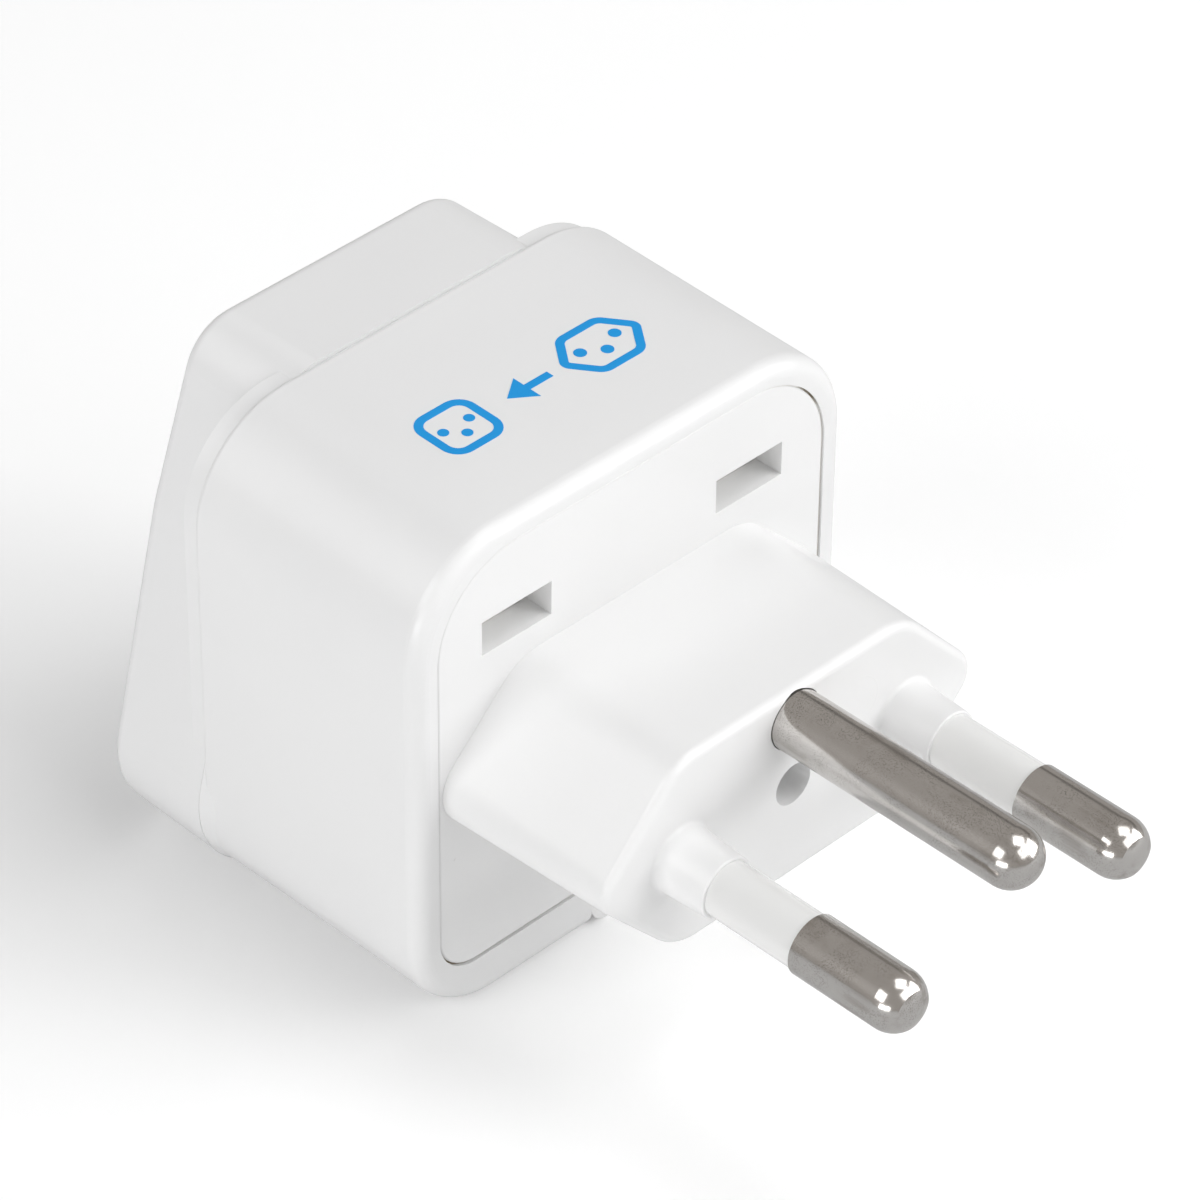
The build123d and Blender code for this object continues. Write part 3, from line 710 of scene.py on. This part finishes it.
def draw_mark():
    """Generic mark, drawn flat: a three-pin plug, an arrow and a three-hole socket."""
    mark = bmesh.new()
    hexagon_scale = (PLUG_MARK_HALF_WIDTH, PLUG_MARK_HALF_HEIGHT / HEXAGON_FLAT_SHARE, 1)
    hexagon = draw_polygon(mark, 6, pi / 2, hexagon_scale)
    bmesh.ops.translate(mark, verts=hexagon, vec=(PLUG_MARK_X, 0, 0))
    round_corners(mark, hexagon, PLUG_MARK_CORNER, segments=6)
    stroke(mark, mark.faces[:], INK_STROKE)
    draw_dots(mark, PLUG_DOTS, PLUG_DOT_RADIUS)
    draw_box(mark, ARROW_SHAFT_PLACE, ARROW_SHAFT_LENGTH, INK_STROKE)
    arrow_head = draw_polygon(mark, 3, -pi / 2, ARROW_HEAD_SCALE)
    head_base = min(vert.co.x for vert in arrow_head)
    bmesh.ops.translate(mark, verts=arrow_head, vec=(ARROW_HEAD_BASE - head_base, 0, 0))
    drawn = set(mark.faces)
    draw_box(mark, SOCKET_MARK_PLACE, SOCKET_MARK_WIDTH, SOCKET_MARK_WIDTH, SOCKET_MARK_CORNER)
    stroke(mark, [face for face in mark.faces if face not in drawn], INK_STROKE)
    draw_dots(mark, SOCKET_DOTS, SOCKET_DOT_RADIUS)
    return mark


# The mark lies on the sloping top and reads towards -X, half its ink sunk into the surface
mark = draw_mark()
thicken(mark, (0, 0, INK_THICKNESS))
top_run = TOP_REAR - TOP_FRONT
top_slope = atan2(top_run.z, top_run.y)
slope_share = (MARK_MIDDLE.y - TOP_FRONT.y) / top_run.y
mark_place = TOP_FRONT.lerp(TOP_REAR, slope_share) + Vector((MARK_MIDDLE.x, 0, -INK_THICKNESS / 2))
mark_turn = Matrix.Rotation(top_slope, 4, "X") @ Matrix.Rotation(pi, 4, "Z")
bmesh.ops.transform(mark, matrix=Matrix.Translation(mark_place) @ mark_turn, verts=mark.verts[:])
add_piece(mark, "printed_mark", pad_ink)


def light_room():
    """Even pale world light; shiny surfaces mirror a warm grey room with a dark doorway."""
    world = bpy.context.scene.world or bpy.data.worlds.new("studio")
    bpy.context.scene.world = world
    world.use_nodes = True
    room = world.node_tree
    light = room.nodes["Background"]
    light.inputs["Color"].default_value = WHITE
    light.inputs["Strength"].default_value = 0.2
    axes = room.nodes.new("ShaderNodeSeparateXYZ")
    directions = room.nodes.new("ShaderNodeTexCoord").outputs["Generated"]
    room.links.new(directions, axes.inputs["Vector"])
    above_foot = ramp(room, axes.outputs["Z"], low=0.34, high=0.41)
    below_head = fade(room, axes.outputs["Z"], full=0.47, none=0.54)
    right_hand = ramp(room, axes.outputs["X"], low=0.3, high=0.5)
    doorway = maths(room, "MULTIPLY", maths(room, "MULTIPLY", above_foot, below_head), right_hand)
    mirrored = room.nodes.new("ShaderNodeBackground")
    mirrored_colour = mix_colour(room, doorway, MIRRORED_ROOM, MIRRORED_DOORWAY)
    room.links.new(mirrored_colour, mirrored.inputs["Color"])
    rays = room.nodes.new("ShaderNodeLightPath")
    choice = room.nodes.new("ShaderNodeMixShader")
    room.links.new(rays.outputs["Is Glossy Ray"], choice.inputs["Fac"])
    room.links.new(light.outputs["Background"], choice.inputs[1])
    room.links.new(mirrored.outputs["Background"], choice.inputs[2])
    room.links.new(choice.outputs["Shader"], room.nodes["World Output"].inputs["Surface"])


def soft_box(name, place, width, height, power):
    """Rectangular studio light pointed at the object, in metres and watts."""
    data = bpy.data.lights.new(name, "AREA")
    data.shape = "RECTANGLE"
    data.size = width
    data.size_y = height
    data.energy = power
    lamp = bpy.data.objects.new(name, data)
    lamp.location = place
    lamp.rotation_euler = (LIGHT_AIM - Vector(place)).to_track_quat("-Z", "Y").to_euler()
    bpy.context.collection.objects.link(lamp)
    return lamp


light_room()
soft_box("overhead", (0.26, -0.20, 0.85), width=0.5, height=0.5, power=2.42)
soft_box("right key", (0.55, -0.50, 0.35), width=0.6, height=0.5, power=3.6)
soft_box("front key", (0.15, -0.60, 0.50), width=0.6, height=0.45, power=1.5)
soft_box("side fill high", (-0.65, 0.10, 0.45), width=0.4, height=0.4, power=1.3)
soft_box("side fill low", (-0.80, -0.20, 0.08), width=0.5, height=0.16, power=1.5)
soft_box("rear fill", (0.10, 0.70, 0.50), width=0.6, height=0.4, power=0.6)

# A large card that only the glossy shell mirrors
corner_card = soft_box("corner card", (-0.52, 0.46, 0.46), width=0.9, height=0.5, power=1.35)
corner_card.visible_diffuse = False
shell = bpy.data.collections.new("glossy shell")
for shell_node in ("main_housing", "socket_head", "plug_insert"):
    shell.objects.link(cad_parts[shell_node])
for shell_piece in (groove_bead, top_flash, low_flash):
    shell.objects.link(shell_piece)
corner_card.light_linking.receiver_collection = shell

# Camera
camera_data = bpy.data.cameras.new("camera")
camera_data.lens = CAMERA_LENS
camera_data.sensor_width = CAMERA_SENSOR
camera_data.sensor_fit = "HORIZONTAL"
camera_data.clip_start = CAMERA_NEAR
camera = bpy.data.objects.new("camera", camera_data)
view_turn = (CAMERA_TARGET - CAMERA_PLACE).to_track_quat("-Z", "Y").to_matrix()
camera.rotation_euler = (view_turn @ Matrix.Rotation(CAMERA_ROLL, 3, "Z")).to_euler()
camera.location = CAMERA_PLACE
bpy.context.collection.objects.link(camera)
bpy.context.scene.camera = camera
bpy.context.scene.view_settings.view_transform = "Standard"
